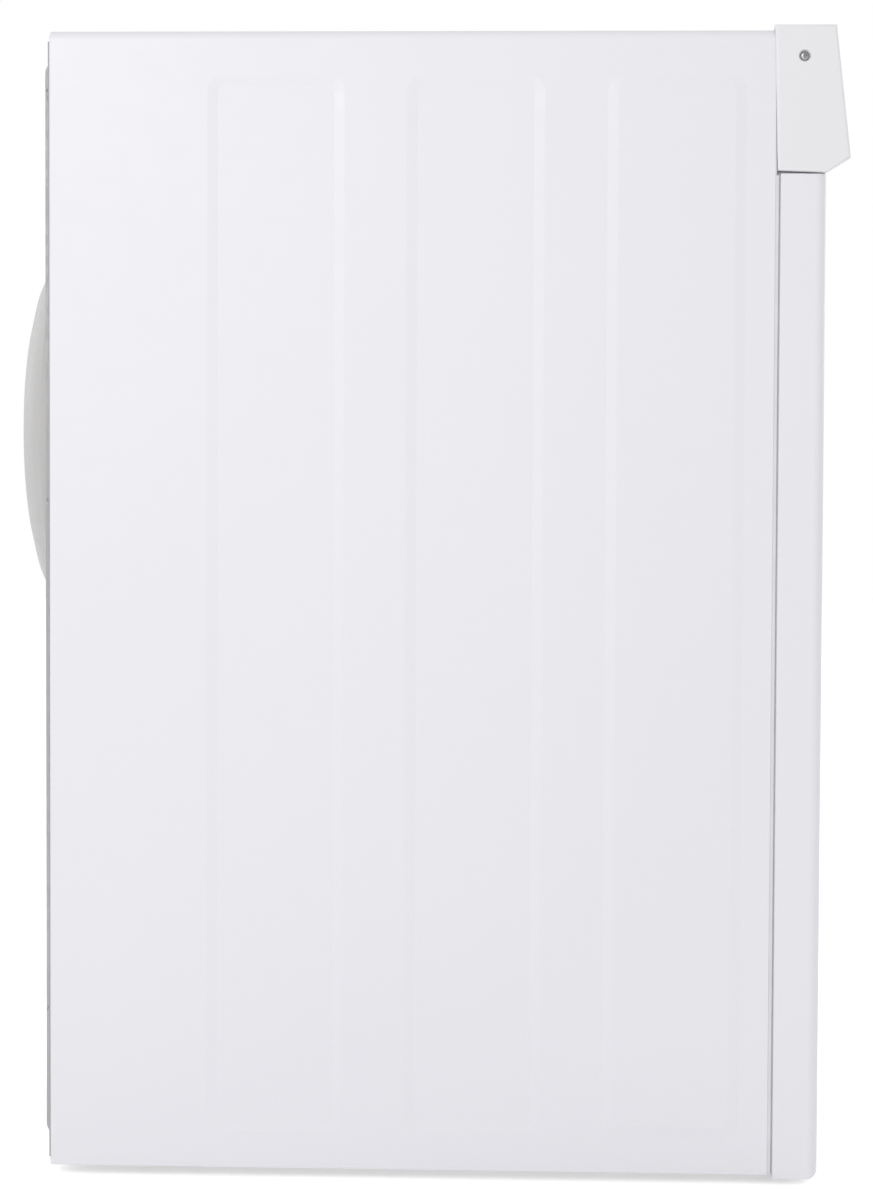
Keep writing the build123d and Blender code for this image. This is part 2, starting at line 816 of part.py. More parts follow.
def make_chain():
    """Inner links as one block each, and outer links as a plate above and below them."""
    stretches = chain_path()
    total = sum(stretch[3] for stretch in stretches)
    links = 2 * round(total / chain_pitch / 2)
    step = total / links
    pins = [chain_point(stretches, step * number) for number in range(links)]
    level = chain_inner_width / 2 + chain_plate_sheet * 1.5
    pieces = []
    for number in range(links):
        ax, ay = pins[number]
        bx, by = pins[(number + 1) % links]
        turn = degrees(atan2(by - ay, bx - ax))
        length = hypot(bx - ax, by - ay) + chain_overlap
        place = Pos((ax + bx) / 2, (ay + by) / 2, chain_z) * Rot(0, 0, turn)
        if number % 2:
            plate = Box(length, chain_plate_height, chain_plate_sheet)
            pieces += [place * Pos(0, 0, side * level) * plate for side in (-1, 1)]
        else:
            height = chain_inner_width + 2 * chain_plate_sheet
            pieces.append(place * Box(length, chain_roller_width, height))
    return pieces[0].fuse(*pieces[1:])


def make_output_shaft():
    return rod_z(0, motor_y, chain_z - output_low, chain_z + output_high, output_radius)


def make_gear_reducer():
    z0 = reducer_z
    z1 = z0 + reducer_height
    body = rod_z(0, motor_y, z0, z1, reducer_radius)
    body = body + prism_z(0, motor_y, z0 - reducer_boss_height, z0, reducer_boss_radius)
    for turn in (90, 210, 330):
        lug = block(reducer_radius - 3, reducer_radius + reducer_lug, -6, 6, z0, z0 + 6)
        body = body + Pos(0, motor_y, 0) * Rot(0, 0, turn) * lug
    socket = rod_z(0, motor_y, z0 - reducer_boss_height - 1, chain_z + output_high, output_radius + journal_fit)
    return body - socket


def make_drive_motor():
    z0 = reducer_z + reducer_height
    z1 = z0 + motor_height
    r = motor_radius
    profile = [(0, z0), (r - motor_low_edge, z0), (r, z0 + motor_low_edge), (r, z1 - motor_high_edge)]
    profile += [(r - motor_high_edge, z1), (0, z1)]
    motor = turned(profile, 0, motor_y)
    for number in range(motor_slot_count):
        slot = block(r * 0.35, r * 0.75, -4, 4, z1 - 4, z1 + 1)
        motor = motor - Pos(0, motor_y, 0) * Rot(0, 0, number * 360 / motor_slot_count) * slot
    return motor


def make_motor_bracket():
    half = half_width - bracket_inset
    deep = bracket_half_depth
    t = bracket_sheet
    y = (motor_y - deep, motor_y + deep)
    plate = block(-half, half, *y, reducer_z - t, reducer_z)
    plate = plate - prism_z(0, motor_y, reducer_z - t - 1, reducer_z + 1, reducer_boss_radius + 1)
    edge = bracket_window_edge
    for sx in (-1, 1):
        x = sx * half
        plate = plate + block(x, x + sx * t, *y, floor_z, reducer_z)
        plate = plate + block(x, x + sx * bracket_foot, *y, floor_z, floor_z + t)
        window = block(x - t - 1, x + t + 1, y[0] + edge, y[1] - edge, floor_z + edge, reducer_z - edge)
        plate = plate - window
    return plate


def make_run_capacitor():
    x = half_width - capacitor_inset
    y = motor_y - capacitor_forward
    foot_z = floor_z + capacitor_foot_height
    body = rod_z(x, y, foot_z, floor_z + capacitor_height, capacitor_radius)
    wide = capacitor_foot
    deep = capacitor_foot_depth
    return body + block(x - wide, x + wide, y - deep, y + deep, floor_z, foot_z)


# Ram

def make_ram_plate():
    x = ram_half_width
    y0 = screw_y - ram_half_depth
    y1 = screw_y + ram_half_depth
    t = ram_plate_sheet
    outer = block(-x, x, y0, y1, ram_rest_z, ram_rest_z + ram_plate_rim)
    outer = fillet(outer.edges().filter_by(Axis.Z), ram_plate_corner)
    outer = chamfer(outer.faces().sort_by(Axis.Z)[0].edges(), ram_plate_edge)
    inner = block(-x + t, x - t, y0 + t, y1 - t, ram_rest_z + t, ram_rest_z + ram_plate_rim + 1)
    inner = fillet(inner.edges().filter_by(Axis.Z), ram_plate_corner - t)
    inner = chamfer(inner.faces().sort_by(Axis.Z)[0].edges(), ram_plate_edge - 1)
    plate = outer - inner
    groove_y = (y0 + ram_groove_end, y1 - ram_groove_end)
    for middle in ram_groove_places:
        groove_x = (middle - ram_groove_half, middle + ram_groove_half)
        plate = plate - block(*groove_x, *groove_y, ram_rest_z - 1, ram_rest_z + 1)
    return plate


def make_ram_box():
    x = ram_half_width - ram_box_inset
    y0 = screw_y - ram_half_depth + ram_box_inset
    y1 = screw_y + ram_half_depth - ram_box_inset
    z0 = ram_rest_z + ram_plate_sheet
    t = ram_box_sheet
    outer = block(-x, x, y0, y1, z0, ram_beam_z)
    outer = chamfer(outer.edges().filter_by(Axis.Z), ram_box_corner)
    inner = block(-x + t, x - t, y0 + t, y1 - t, z0 + t, ram_beam_z + 1)
    inner = chamfer(inner.edges().filter_by(Axis.Z), ram_box_corner - t / 2)
    half = ram_beam_width / 2
    shelf = block(-x, x, screw_y - half, screw_y + half, ram_beam_z - ram_beam_sheet, ram_beam_z)
    return outer - inner + shelf


def make_ram_beam():
    x = screw_x + nut_size / 2
    y0 = screw_y - ram_beam_width / 2
    y1 = screw_y + ram_beam_width / 2
    t = ram_beam_sheet
    beam = block(-x, x, y0, y1, ram_beam_z, ram_top_z)
    beam = beam - block(-x - 1, x + 1, y0 + t, y1 - t, ram_beam_z - 1, ram_top_z - t)
    plate_half = min(ram_beam_plate_half, ram_half_width - ram_box_inset)
    beam = beam + block(-plate_half, plate_half, y0, y1, ram_beam_z, ram_beam_z + t)
    for sx in (-1, 1):
        beam = beam - prism_z(sx * screw_x, screw_y, ram_top_z - t - 1, ram_top_z + 1, beam_hole_radius)
    return beam


def make_power_nut(sx):
    z1 = ram_top_z - ram_beam_sheet
    half = nut_size / 2
    x = sx * screw_x
    nut = block(x - half, x + half, screw_y - half, screw_y + half, z1 - nut_height, z1)
    nut = chamfer(nut.edges().filter_by(Axis.Z), nut_corner)
    return nut - rod_z(x, screw_y, z1 - nut_height - 1, z1 + 1, screw_radius + journal_fit)


# Drawer

def front_pan(shrink, y_back):
    """The drawer front's outer form, made smaller all round by shrink."""
    x = half_width - shrink
    z0 = front_bottom + shrink
    pan = block(-x, x, face_y + shrink, y_back, z0, front_top - shrink)
    face = pan.faces().sort_by(Axis.Y)[0]
    lower = face.edges().sort_by(Axis.Z)[0]
    sides = face.edges().filter_by(Axis.Z)
    return fillet([lower] + list(sides), front_corner - shrink)


def make_drawer_front():
    outer = front_pan(0, liner_y)
    outer = chamfer(outer.faces().sort_by(Axis.Y)[-1].edges(), front_hem)
    pan = outer - front_pan(front_sheet, liner_y + 5)
    half = handle_width / 2
    y0 = face_y + handle_setback
    return pan - block(-half, half, y0, y0 + handle_depth, front_top - 2, front_top + 1)


def make_drawer_liner():
    x = half_width - front_sheet - seat_gap
    z0 = front_bottom + front_sheet + seat_gap
    z1 = front_top - front_sheet - seat_gap
    t = liner_sheet
    y0 = liner_y - liner_flange
    sheet = block(-x, x, liner_y - t, liner_y, z0, z1)
    sheet = sheet + block(-x, x, y0, liner_y, z0, z0 + t)
    sheet = sheet + block(-x, -x + t, y0, liner_y, z0, z1)
    return sheet + block(x - t, x, y0, liner_y, z0, z1)


def make_pull_handle():
    half = handle_width / 2 - seat_gap
    y0 = face_y + handle_setback + seat_gap
    y1 = face_y + handle_setback + handle_depth - seat_gap
    z0 = front_top - handle_height
    w = handle_wall
    cup = block(-half, half, y0, y1, z0, front_top)
    cup = fillet(cup.edges().filter_by(Axis.X).group_by(Axis.Z)[0], handle_round)
    rim_x = half + handle_rim
    rim_y = (y0 - handle_front_rim, y1 + handle_back_rim)
    cup = cup + block(-rim_x, rim_x, *rim_y, front_top, front_top + handle_rim_height)
    hollow = block(-half + w, half - w, y0 + w, y1 - w, z0 + w, front_top + handle_rim_height + 1)
    return cup - fillet(hollow.edges().filter_by(Axis.X).group_by(Axis.Z)[0], handle_round - w)


def make_drawer_bumpers():
    """Two soft strips on the liner that meet the cabinet's front edge."""
    x0 = half_width - bumper_inset - bumper_width
    x1 = half_width - bumper_inset
    y1 = front_y - seat_gap
    z1 = front_top - front_sheet - seat_gap
    return [block(sx * x0, sx * x1, liner_y, y1, cabinet_bottom + 1, z1) for sx in (-1, 1)]


def make_drawer_frame():
    x = tray_half_width
    y0 = liner_y
    y1 = y0 + tray_depth
    t = tray_sheet
    side_z = tray_z + tray_side_height
    upright_z = bin_top_z - tray_upright_gap
    tray = block(-x, x, y0, y1, tray_z, side_z)
    tray = tray - block(-x + t, x - t, y0 + t, y1 - t, tray_z + t, side_z + 1)
    tray = tray + block(-x, x, y0, y0 + t, tray_z, upright_z)
    tray = tray + block(-x, x, y0, y0 + tray_lip, upright_z, upright_z + t)
    gusset = [(y0 + t, side_z), (y0 + tray_gusset, side_z), (y0 + t, bin_top_z - tray_gusset_gap)]
    web = side_prism(gusset, x - t, x)
    tray = tray + web + mirrored(web)
    half = tray_window / 2
    for hole_x in (-x / 2, x / 2):
        for hole_y in (y0 + tray_depth / 4, y1 - tray_depth / 4):
            hole = block(hole_x - half, hole_x + half, hole_y - half, hole_y + half, tray_z - 1, tray_z + t + 1)
            tray = tray - hole
    return tray


def bin_form(shrink, z0, z1):
    """A drafted tub between two heights."""
    slope = bin_draft / (bin_top_z - tray_z - tray_sheet)
    outlines = []
    for z in (z0, z1):
        inset = (bin_top_z - z) * slope + shrink
        size = (bin_top_width - 2 * inset, bin_top_depth - 2 * inset, bin_corner - inset)
        outlines.append(stepped_outline(Plane(origin=(0, bin_y, z)), *size, bin_corner_steps))
    return loft(outlines, ruled=True)


def make_waste_bin():
    z0 = tray_z + tray_sheet
    tub = bin_form(0, z0, bin_top_z)
    rim = bin_form(-bin_rim / 2, bin_top_z - bin_rim_height, bin_top_z)
    return tub + rim - bin_form(bin_wall, z0 + bin_floor, bin_top_z + 2)


def make_bag_clips():
    """Square studs on the bin's sides that the bag's edge is hooked over."""
    drop = bin_draft * (clip_drop - clip_half) / (bin_top_z - tray_z - tray_sheet)
    x0 = bin_top_width / 2 - drop
    z = bin_top_z - clip_drop
    clips = []
    for sx in (-1, 1):
        for y in (bin_y - clip_y, bin_y + clip_y):
            half = clip_half
            clips.append(block(sx * x0, sx * (x0 + clip_proud), y - half, y + half, z - half, z + half))
    return clips


def slide_member(x_web, x_lip, half_height, web_side):
    """A C-shaped slide member seen from the front, for the right hand side."""
    z0 = slide_z - half_height
    z1 = slide_z + half_height
    lo = min(x_web, x_lip)
    hi = max(x_web, x_lip)
    y1 = slide_y + slide_length
    t = slide_sheet
    hollow_x = (lo - 1, hi - t) if web_side > 0 else (lo + t, hi + 1)
    member = block(lo, hi, slide_y, y1, z0, z1)
    return member - block(*hollow_x, slide_y - 1, y1 + 1, z0 + t, z1 - t)


def make_slide_outer():
    return slide_member(plate_x, tray_half_width + slide_lip, slide_height / 2, 1)


def make_slide_middle():
    step = slide_sheet + slide_gap
    return slide_member(plate_x - step, tray_half_width + slide_lip, slide_height / 2 - step, 1)


def make_slide_inner():
    step = 2 * (slide_sheet + slide_gap)
    return slide_member(tray_half_width, plate_x - step, slide_height / 2 - step, -1)


# Odour fan and filter

def make_filter_frame():
    half = filter_size / 2 + filter_frame_edge
    inner = filter_size / 2 + seat_gap
    y1 = bulkhead_y
    y0 = y1 - filter_depth - filter_frame_face
    z = dome_centre_z
    frame = block(-half, half, y0, y1, z - half, z + half)
    frame = frame - block(-inner, inner, y0 + filter_frame_face, y1 + 1, z - inner, z + inner)
    reach = filter_bar_pitch * 2 + filter_bar_gap
    hole_half = filter_bar_pitch / 2 - filter_bar_gap
    for column in range(filter_bar_columns):
        x = (column - (filter_bar_columns - 1) / 2) * filter_bar_pitch
        for sz in (-1, 1):
            hole_z = (z + sz * filter_bar_gap, z + sz * reach)
            frame = frame - block(x - hole_half, x + hole_half, y0 - 1, y0 + filter_frame_face + 1, *hole_z)
    return frame


def make_odour_filter():
    half = filter_size / 2
    return block(-half, half, bulkhead_y - filter_depth, bulkhead_y, dome_centre_z - half, dome_centre_z + half)


def make_fan_bracket():
    y0 = bulkhead_y + plate_sheet
    y1 = fan_plate_y
    t = fan_sheet
    half = fan_plate_half
    z = dome_centre_z
    plate = block(-half, half, y1 - t, y1, z - half, z + half)
    for angle in (0, 90, 180, 270):
        arm = block(half - 1, fan_arm_end, y1 - t, y1, -fan_arm_half, fan_arm_half)
        arm = arm + block(fan_arm_end - t, fan_arm_end, y0, y1, -fan_arm_half, fan_arm_half)
        plate = plate + Pos(0, 0, z) * Rot(0, angle, 0) * arm
    return plate


def make_fan_motor():
    y1 = fan_plate_y + fan_motor_length
    body = rod_y(0, dome_centre_z, fan_plate_y, y1, fan_motor_radius)
    body = chamfer(body.edges().sort_by(Axis.Y)[-1], fan_motor_edge)
    return body + rod_y(0, dome_centre_z, y1 - 1, y1 + fan_shaft_length, fan_shaft_radius)


def make_fan_impeller():
    y0 = fan_plate_y + fan_motor_length + seat_gap
    y1 = y0 + impeller_width
    z = dome_centre_z
    wheel = rod_y(0, z, y0, y0 + impeller_sheet, impeller_radius)
    wheel = wheel + prism_y(0, z, y0, y0 + impeller_hub_height, impeller_hub_radius)
    ring = rod_y(0, z, y1 - impeller_sheet, y1, impeller_radius)
    wheel = wheel + ring - rod_y(0, z, y1 - impeller_sheet - 1, y1 + 1, impeller_eye)
    wheel = wheel - rod_y(0, z, y0 - 1, y0 + impeller_hub_height + 1, fan_shaft_radius + journal_fit)
    for number in range(blade_count):
        turn = Pos(0, 0, z) * Rot(0, number * 360 / blade_count, 0)
        blade = Box(blade_length, impeller_width - 1, blade_sheet)
        wheel = wheel + turn * Pos(blade_place, (y0 + y1) / 2, 0) * Rot(0, blade_angle, 0) * blade
    return wheel


# Console and controls

def console_line(z):
    """How far the end cap's front face stands in front of the cabinet at a height."""
    return console_front_top + (console_top - z) * console_slope


def cap_screw_place():
    """The (y, z) of the screw in each end cap."""
    return (front_y - cap_screw_inset, console_top - cap_screw_drop)


def make_end_cap():
    lip_z = console_top - console_lip_drop
    front = [(front_y - console_front_top, console_top), (front_y - console_reach, lip_z)]
    front += [(front_y - console_under_reach, console_top - console_under_drop)]
    back_low = console_top - console_back_drop
    x0 = console_half - cap_width
    skin_x = half_width + seat_gap
    skin = [(front_y + cap_overhang, console_top)] + front + [(front_y - seat_gap, back_low)]
    step_z = cabinet_top + seat_gap
    body = [(front_y + cap_overhang, step_z), (front_y + cap_overhang, console_top)] + front
    body += [(front_y - seat_gap, back_low), (front_y - seat_gap, step_z)]
    cap = side_prism(skin, skin_x, console_half) + side_prism(body, x0, skin_x)
    cap = chamfer(cap.faces().sort_by(Axis.X)[-1].edges(), cap_edge)
    y, z = cap_screw_place()
    seat = console_half - cap_screw_recess
    cap = cap - rod_x(y, z, seat, console_half + 1, screw_head_radius + 1)
    return cap - prism_x(y, z, x0 + 2, console_half, screw_hole_radius)


def make_cap_screw():
    y, z = cap_screw_place()
    seat = console_half - cap_screw_recess
    top = seat + screw_head_height
    head = rod_x(y, z, seat, top, screw_head_radius)
    long = cross_length / 2
    wide = cross_width / 2
    cross = block(seat + 1, top + 1, y - long, y + long, z - wide, z + wide)
    cross = cross + block(seat + 1, top + 1, y - wide, y + wide, z - long, z + long)
    return head - cross + prism_x(y, z, seat - screw_shank_length, seat, screw_shank_radius, 6)


def fascia_place(x):
    """The middle of a control on the fascia's sloping face, looking out of it."""
    z = console_top - control_drop
    y = front_y - console_line(z) + fascia_setback
    normal = (0, -cos(console_lean), sin(console_lean))
    return Plane(origin=(x, y, z), x_dir=(1, 0, 0), z_dir=normal).location


def fascia_outline(shrink):
    z1 = console_top - fascia_top_step - shrink
    z0 = console_top - fascia_drop + shrink
    back = front_y - seat_gap + 2 * shrink
    inset = fascia_setback + shrink
    top_front = front_y - console_line(z1) + inset
    low_front = front_y - console_line(z0) + inset
    return [(back, z1), (top_front, z1), (low_front, z0), (back, z0)]


def make_console_fascia():
    x = console_half - cap_width - seat_gap
    fascia = side_prism(fascia_outline(0), -x, x)
    fascia = fillet(fascia.edges().filter_by(Axis.X).sort_by(Axis.Y)[0:2], fascia_edge)
    fascia = fascia - side_prism(fascia_outline(fascia_wall), -x - 1, x + 1)
    for x_button in (start_x, stop_x):
        hole = Box(button_width + 2 * button_gap, button_height + 2 * button_gap, 20)
        fascia = fascia - fascia_place(x_button) * hole
    fascia = fascia - fascia_place(lens_x) * Cylinder(lens_radius + 0.1, 20)
    return fascia - fascia_place(key_x) * prism_z(0, 0, -10, 10, key_hole_radius)


def make_button(x):
    depth = button_proud + fascia_wall + button_gap
    cap = Pos(0, 0, button_proud - depth / 2) * Box(button_width, button_height, depth)
    cap = fillet(cap.faces().sort_by(Axis.Z)[-1].edges(), button_edge)
    level = -fascia_wall - button_gap - button_flange_sheet / 2
    flange = Box(button_width + button_flange, button_height + button_flange, button_flange_sheet)
    return fascia_place(x) * (cap + Pos(0, 0, level) * flange)


def make_indicator_lens():
    lens = Pos(0, 0, -2) * Cylinder(lens_radius, 6)
    flange = prism_z(0, 0, -fascia_wall - 1.3, -fascia_wall - 0.1, lens_flange_radius)
    return fascia_place(lens_x) * (lens + flange)


def make_key_knob():
    disc = Pos(0, 0, seat_gap + key_disc / 2) * Cylinder(key_radius, key_disc)
    disc = chamfer(disc.edges().sort_by(Axis.Z)[-1], button_edge)
    top = seat_gap + key_disc + key_grip
    grip = Pos(0, 0, top - key_grip / 2 - 1) * Box(key_grip_width, 2 * key_radius - 3, key_grip)
    grip = chamfer(grip.faces().sort_by(Axis.Z)[-1].edges(), button_edge)
    shaft = Pos(0, 0, seat_gap - key_shaft_length / 2) * Cylinder(key_shaft_radius, key_shaft_length)
    return fascia_place(key_x) * (disc + grip + shaft)


def make_switch_block():
    depth = fascia_wall + button_gap + button_flange_sheet + button_travel + 0.6
    middle = (start_x + key_x) / 2
    width = key_x - start_x + block_margin
    local = Pos(0, 0, -depth - block_depth / 2) * Box(width, block_height, block_depth)
    for x in (post_half - width / 2, width / 2 - post_half):
        local = local + block(x - post_half, x + post_half, -post_half, post_half, -depth, -fascia_wall)
    local = local - prism_z(key_x - middle, 0, -depth - block_depth - 1, 0, key_hole_radius)
    return fascia_place(middle) * local


# Switches and catch

def make_drawer_switch():
    y0 = front_y + wrapper_sheet + seat_gap + rail_high_flange
    y1 = y0 + catch_depth
    z = tray_z + tray_side_height + switch_over_tray
    body = block(plate_x - switch_body, plate_x, y0, y1, z, z + switch_height)
    plunger_x = (plate_x - switch_body + 2, plate_x - 3)
    return body + block(*plunger_x, y0 - 2, y0, z + 3, z + switch_height - 3)


def make_ram_limit_switch():
    y = screw_y + slot_half_width + 6
    z = ram_top_z - 8
    x = plate_outer_x
    body = block(x, x + 10, y, y + 18, z - 8, z + 8)
    return body + block(x + 2, x + 8, y + 3, y + 15, z + 8, z + 9.5)


def make_drawer_catch():
    y0 = front_y + catch_start
    z1 = floor_z + catch_height
    half = catch_half_width
    inner = half - catch_wall
    body = block(-half, half, y0, y0 + catch_depth, floor_z, z1)
    return body - block(-inner, inner, y0 - 1, y0 + catch_depth - catch_wall, z1 - 10, z1 + 1)


def make_drawer_strike():
    y0 = front_y + catch_start
    y1 = y0 + catch_depth
    half = strike_half_width
    arm = block(-half, half, y0 + 5, y0 + 5 + strike_sheet, floor_z + 12, tray_z)
    return arm + block(-half, half, y0 + 5, y1, tray_z - 2, tray_z)


def save_cabinet():
    save("cabinet_wrapper", make_cabinet_wrapper())
    save("base_frame", make_base_frame())
    save("levelling_feet", *make_levelling_feet())
    save("back_panel", make_back_panel())
    save("back_panel_screws", *make_back_panel_screws())
    save("fan_cover", make_fan_cover())
    save("fan_cover_screws", *make_fan_cover_screws())
    save("cord_bushing", make_cord_bushing())
    side_plate = make_side_plate()
    save("side_plate_right", side_plate)
    save("side_plate_left", mirrored(side_plate))
    save("top_beam", make_top_beam())
    save("front_rail", make_front_rail())
    save("rear_bulkhead", make_rear_bulkhead())
    save("filter_frame", make_filter_frame())
    save("odour_filter", make_odour_filter())
    save("fan_bracket", make_fan_bracket())
    save("fan_motor", make_fan_motor())
    save("fan_impeller", make_fan_impeller())


def save_drive():
    hub_low = floor_z + bearing_height + seat_gap
    for name, sx in (("left", -1), ("right", 1)):
        save("power_screw_" + name, make_power_screw(sx))
        save("screw_sprocket_" + name, sprocket(sx * screw_x, screw_y, journal_radius, hub_low))
    save("lower_bearings", make_bearing_lower(-1), make_bearing_lower(1))
    save("upper_bearings", make_bearing_upper(-1), make_bearing_upper(1))
    save("drive_chain", make_chain())
    save("motor_sprocket", sprocket(0, motor_y, output_radius, chain_z - output_low))
    save("output_shaft", make_output_shaft())
    save("gear_reducer", make_gear_reducer())
    save("drive_motor", make_drive_motor())
    save("motor_bracket", make_motor_bracket())
    save("run_capacitor", make_run_capacitor())
    save("ram_plate", make_ram_plate())
    save("ram_box", make_ram_box())
    save("ram_beam", make_ram_beam())
    save("power_nuts", make_power_nut(-1), make_power_nut(1))
    save("ram_limit_switch", make_ram_limit_switch())


def save_drawer():
    save("drawer_front", make_drawer_front())
    save("drawer_liner", make_drawer_liner())
    save("pull_handle", make_pull_handle())
    save("drawer_bumpers", *make_drawer_bumpers())
    save("drawer_frame", make_drawer_frame())
    save("waste_bin", make_waste_bin())
    save("bag_clips", *make_bag_clips())
    outer = make_slide_outer()
    middle = make_slide_middle()
    inner = make_slide_inner()
    save("slide_outer_members", outer, mirrored(outer))
    save("slide_middle_right", middle)
    save("slide_middle_left", mirrored(middle))
    save("slide_inner_members", inner, mirrored(inner))
    save("drawer_switch", make_drawer_switch())
    save("drawer_catch", make_drawer_catch())
    save("drawer_strike", make_drawer_strike())


def save_console():
    cap = make_end_cap()
    save("console_end_cap_right", cap)
    save("console_end_cap_left", mirrored(cap))
    screw = make_cap_screw()
    save("console_screws", screw, mirrored(screw))
    save("console_fascia", make_console_fascia())
    save("start_button", make_button(start_x))
    save("stop_button", make_button(stop_x))
    save("indicator_lens", make_indicator_lens())
    save("key_knob", make_key_knob())
    save("switch_block", make_switch_block())


def main():
    os.makedirs("parts", exist_ok=True)
    save_cabinet()
    save_drive()
    save_drawer()
    save_console()


main()
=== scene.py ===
"""Looks for a free-standing trash compactor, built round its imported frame.

All lengths are in metres, in the row frame: +X right seen from the front, +Y back, +Z up.
"""

import json
import math

import bmesh
import bpy
from mathutils import Matrix, Vector


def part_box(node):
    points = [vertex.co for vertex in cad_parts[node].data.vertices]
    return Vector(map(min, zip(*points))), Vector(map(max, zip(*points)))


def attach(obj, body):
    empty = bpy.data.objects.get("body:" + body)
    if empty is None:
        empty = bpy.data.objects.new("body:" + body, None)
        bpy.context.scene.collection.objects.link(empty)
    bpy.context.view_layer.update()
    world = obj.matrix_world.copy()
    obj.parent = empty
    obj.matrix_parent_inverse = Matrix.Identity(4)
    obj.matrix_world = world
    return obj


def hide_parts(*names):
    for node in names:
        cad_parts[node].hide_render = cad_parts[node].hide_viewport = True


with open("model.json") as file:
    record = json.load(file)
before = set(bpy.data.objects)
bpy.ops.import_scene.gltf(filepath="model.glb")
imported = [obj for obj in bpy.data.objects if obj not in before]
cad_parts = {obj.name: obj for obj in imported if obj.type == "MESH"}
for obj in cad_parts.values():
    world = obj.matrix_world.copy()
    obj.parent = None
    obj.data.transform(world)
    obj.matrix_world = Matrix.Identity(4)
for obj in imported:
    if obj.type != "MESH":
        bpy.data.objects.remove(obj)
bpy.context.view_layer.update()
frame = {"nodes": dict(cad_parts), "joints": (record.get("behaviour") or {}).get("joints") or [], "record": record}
nodes = frame["nodes"]
bodies = frame["record"]["behaviour"]["bodies"]
slot_names = {row["node"]: row["material_slot"] for row in frame["record"]["subparts"]}
body_of = {node: body for body, members in bodies.items() for node in members}
joints = {joint["name"]: joint for joint in frame["joints"]}

# Camera, fitted to the photograph: a long lens, a little above the middle of the side
CAMERA_BACK = 2.4778
CAMERA_FORWARD_OF_REAR_EDGE = 0.4112
CAMERA_HEIGHT = 0.5587
CAMERA_YAW = math.radians(2.723)
CAMERA_PITCH = math.radians(-2.716)
CAMERA_ROLL = math.radians(-0.237)
CAMERA_LENS_MM = 99.0
CAMERA_SENSOR_MM = 36.0

# Floor, sky and lamps
FLOOR_HALF = 9.0
FLOOR_COLOUR = (0.9, 0.9, 0.9, 1)
FLOOR_GLOW = 0.5
WHITE = (1, 1, 1, 1)
SKY_LIGHT = 0.75
WIDE_LAMP = 1.8
SMALL_LAMP = 0.5

# Places on the cabinet
SIDE_PAST_BASE = 0.0015
SIDE_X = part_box("base_frame")[1].x + SIDE_PAST_BASE
wrapper_low, wrapper_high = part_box("cabinet_wrapper")

# Textures: where a noise value starts and ends its way from low to high
RAMP_START = 0.35
RAMP_END = 0.65

# Edges of the frame's own pieces
SHEET_EDGE = 0.00025
SOLID_EDGE = 0.0005
EDGE_STEPS = 2
EDGE_LIMIT = math.radians(20)
FLAT_LIMIT = math.radians(0.3)
MERGE_DISTANCE = 0.000002
PRESSED_MARGIN = 0.012
SHEETS = (
    "cabinet_wrapper", "back_panel", "base_frame", "drawer_front", "drawer_liner", "drawer_frame",
    "side_plate_left", "side_plate_right", "rear_bulkhead", "drive_chain", "bag_clips", "fan_impeller",
    "slide_inner_members", "slide_middle_left", "slide_middle_right", "slide_outer_members",
)

# Console screws
SCREW_HEAD_HEIGHT = 0.002
SCREW_SHANK_RADIUS = 0.0018
SCREW_END_FROM_INSIDE = 0.009
SCREW_RIM = 0.0006
SCREW_SHARP = 35
CROSS_DEPTH = 0.0014
CROSS_ABOVE = 0.001
CROSS_SLOT = 0.00055
CROSS_REACH = 0.55
CROSS_REACH_TAPER = 0.45
CROSS_SLOT_TAPER = 0.7
HEAD_STEPS = 6

# Power screws
THREAD_DEPTH = 0.0016
THREAD_SEGMENTS = 28
THREAD_PROFILE = ((0.0, 0), (0.12, 1), (0.40, 1), (0.52, 0))
THREAD_SHARP = 30
JOURNAL_RADIUS = 0.008
CORE_OVERLAP = 0.0001

# Drawer seals
SEAL_LIP = 0.0010
SEAL_CLEARANCE = 0.0001
SEAL_TIP_CLEARANCE = 3 * SEAL_CLEARANCE
SEAL_WIDTH = 0.006
SEAL_WEB = 0.0053
WRAPPER_FOLD = 0.0013

# Console end caps
CAP_ROUNDING = 0.0022
CAP_ROUNDING_STEPS = 4
CAP_CHAMFER = 0.0008
CAP_SHARP = 35
SHORTEST_RIM_EDGE = 2 * CAP_ROUNDING
SAME_LEVEL = 0.00005
WALL_TILT = 0.5

# Round pieces made here
TURN_SEGMENTS = 32


def put_in_scene(thing):
    bpy.context.scene.collection.objects.link(thing)


# Camera, floor and light

def camera_axes():
    """The camera's right, up and forward directions in the row frame."""
    yaw = Matrix.Rotation(CAMERA_YAW, 3, "Y")
    pitch = Matrix.Rotation(CAMERA_PITCH, 3, "X")
    roll = Matrix.Rotation(CAMERA_ROLL, 3, "Z")
    turn = roll @ pitch @ yaw
    return [Vector((row[2], -row[0], row[1])) for row in turn]


def make_camera():
    right, up, forward = camera_axes()
    data = bpy.data.cameras.new("camera")
    data.lens = CAMERA_LENS_MM
    data.sensor_width = CAMERA_SENSOR_MM
    camera = bpy.data.objects.new("camera", data)
    put_in_scene(camera)
    camera_y = wrapper_high.y - CAMERA_FORWARD_OF_REAR_EDGE
    place = Vector((-SIDE_X - CAMERA_BACK, camera_y, CAMERA_HEIGHT))
    turn = Matrix((right, up, -forward)).transposed()
    camera.matrix_world = Matrix.Translation(place) @ turn.to_4x4()
    bpy.context.scene.camera = camera


def any_ray(tree, kinds):
    """A value of 1 for the rays of the given kinds and of 0 for all others."""
    rays = tree.nodes.new("ShaderNodeLightPath")
    value = rays.outputs[kinds[0]]
    for kind in kinds[1:]:
        either = tree.nodes.new("ShaderNodeMath")
        either.operation = "MAXIMUM"
        tree.links.new(value, either.inputs[0])
        tree.links.new(rays.outputs[kind], either.inputs[1])
        value = either.outputs[0]
    return value


